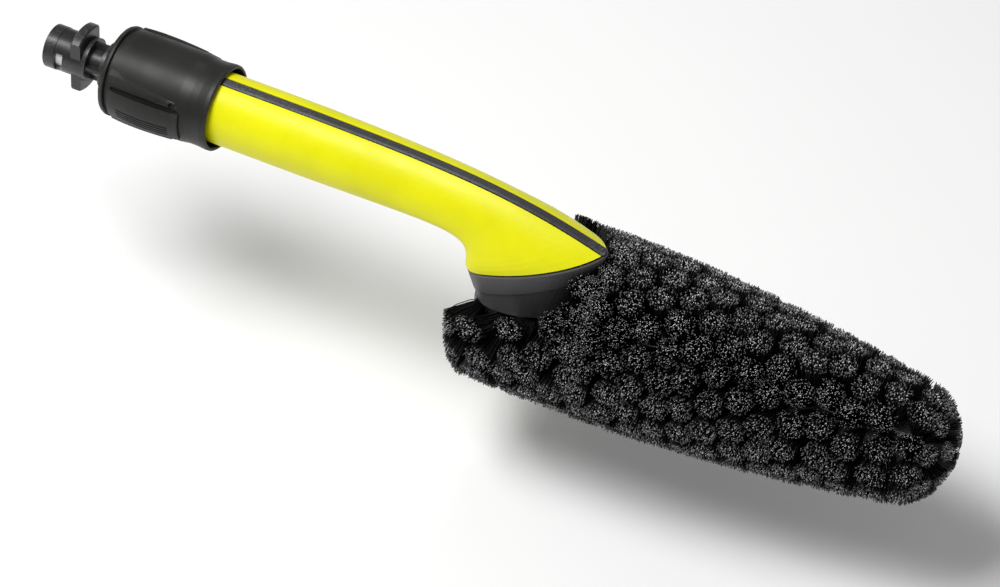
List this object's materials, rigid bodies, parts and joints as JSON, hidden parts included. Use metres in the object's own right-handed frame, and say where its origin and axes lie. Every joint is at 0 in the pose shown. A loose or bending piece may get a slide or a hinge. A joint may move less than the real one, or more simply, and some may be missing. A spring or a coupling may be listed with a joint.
{
  "type": "wheel brush",
  "caption": "Wheel brush for a pressure washer: bayonet connector, union nut, curved two-shell handle and a tapered all-round brush head.",
  "frame": {"origin": "middle of the bayonet spigot's open end", "axes": "+X along the handle from the spigot to the brush tip, +Z from the brush towards the handle's ridge, XZ the plane of symmetry"},
  "size_m": [0.456, 0.084, 0.1144],
  "materials": {
    "black_plastic": "satin",
    "pale_plastic": "satin",
    "rubber": "matte",
    "steel": "satin",
    "nut_plastic": "satin",
    "yellow_plastic": "satin",
    "anthracite_plastic": "satin",
    "tube_plastic": "satin",
    "bristles": "satin"
  },
  "bodies": {
    "connector": {"bayonet_connector": "black_plastic", "inlet_sleeve": "pale_plastic", "connector_o_ring": "rubber", "thrust_washer": "steel"},
    "nut": {"union_nut": "nut_plastic"},
    "handle": {"threaded_socket": "black_plastic", "handle_left": "yellow_plastic", "handle_right": "yellow_plastic", "shell_screws": "steel", "top_strip": "anthracite_plastic", "water_tube": "tube_plastic", "tube_o_rings": "rubber", "brush_base": "anthracite_plastic", "base_gasket": "rubber", "base_screws": "steel", "brush_core": "black_plastic", "core_end_plug": "black_plastic", "bristle_ring_01": "bristles", "bristle_ring_02": "bristles", "bristle_ring_03": "bristles", "bristle_ring_04": "bristles", "bristle_ring_05": "bristles", "bristle_ring_06": "bristles", "bristle_ring_07": "bristles", "bristle_ring_08": "bristles", "bristle_ring_09": "bristles", "bristle_ring_10": "bristles", "bristle_ring_11": "bristles", "bristle_tip": "bristles"}
  },
  "joints": [
    {"name": "nut_turn", "type": "hinge", "parent": "connector", "child": "nut", "pos_m": [0.061, 0, 0], "axis": [-1, 0, 0], "range_deg": [0, 540]},
    {"name": "handle_release", "type": "slide", "parent": "connector", "child": "handle", "axis": [1, 0, 0], "range_m": [0, 0.0047]}
  ],
  "couplings": [
    {"joint": "handle_release", "follows": "nut_turn", "m_per_rad": 0.0004774}
  ]
}
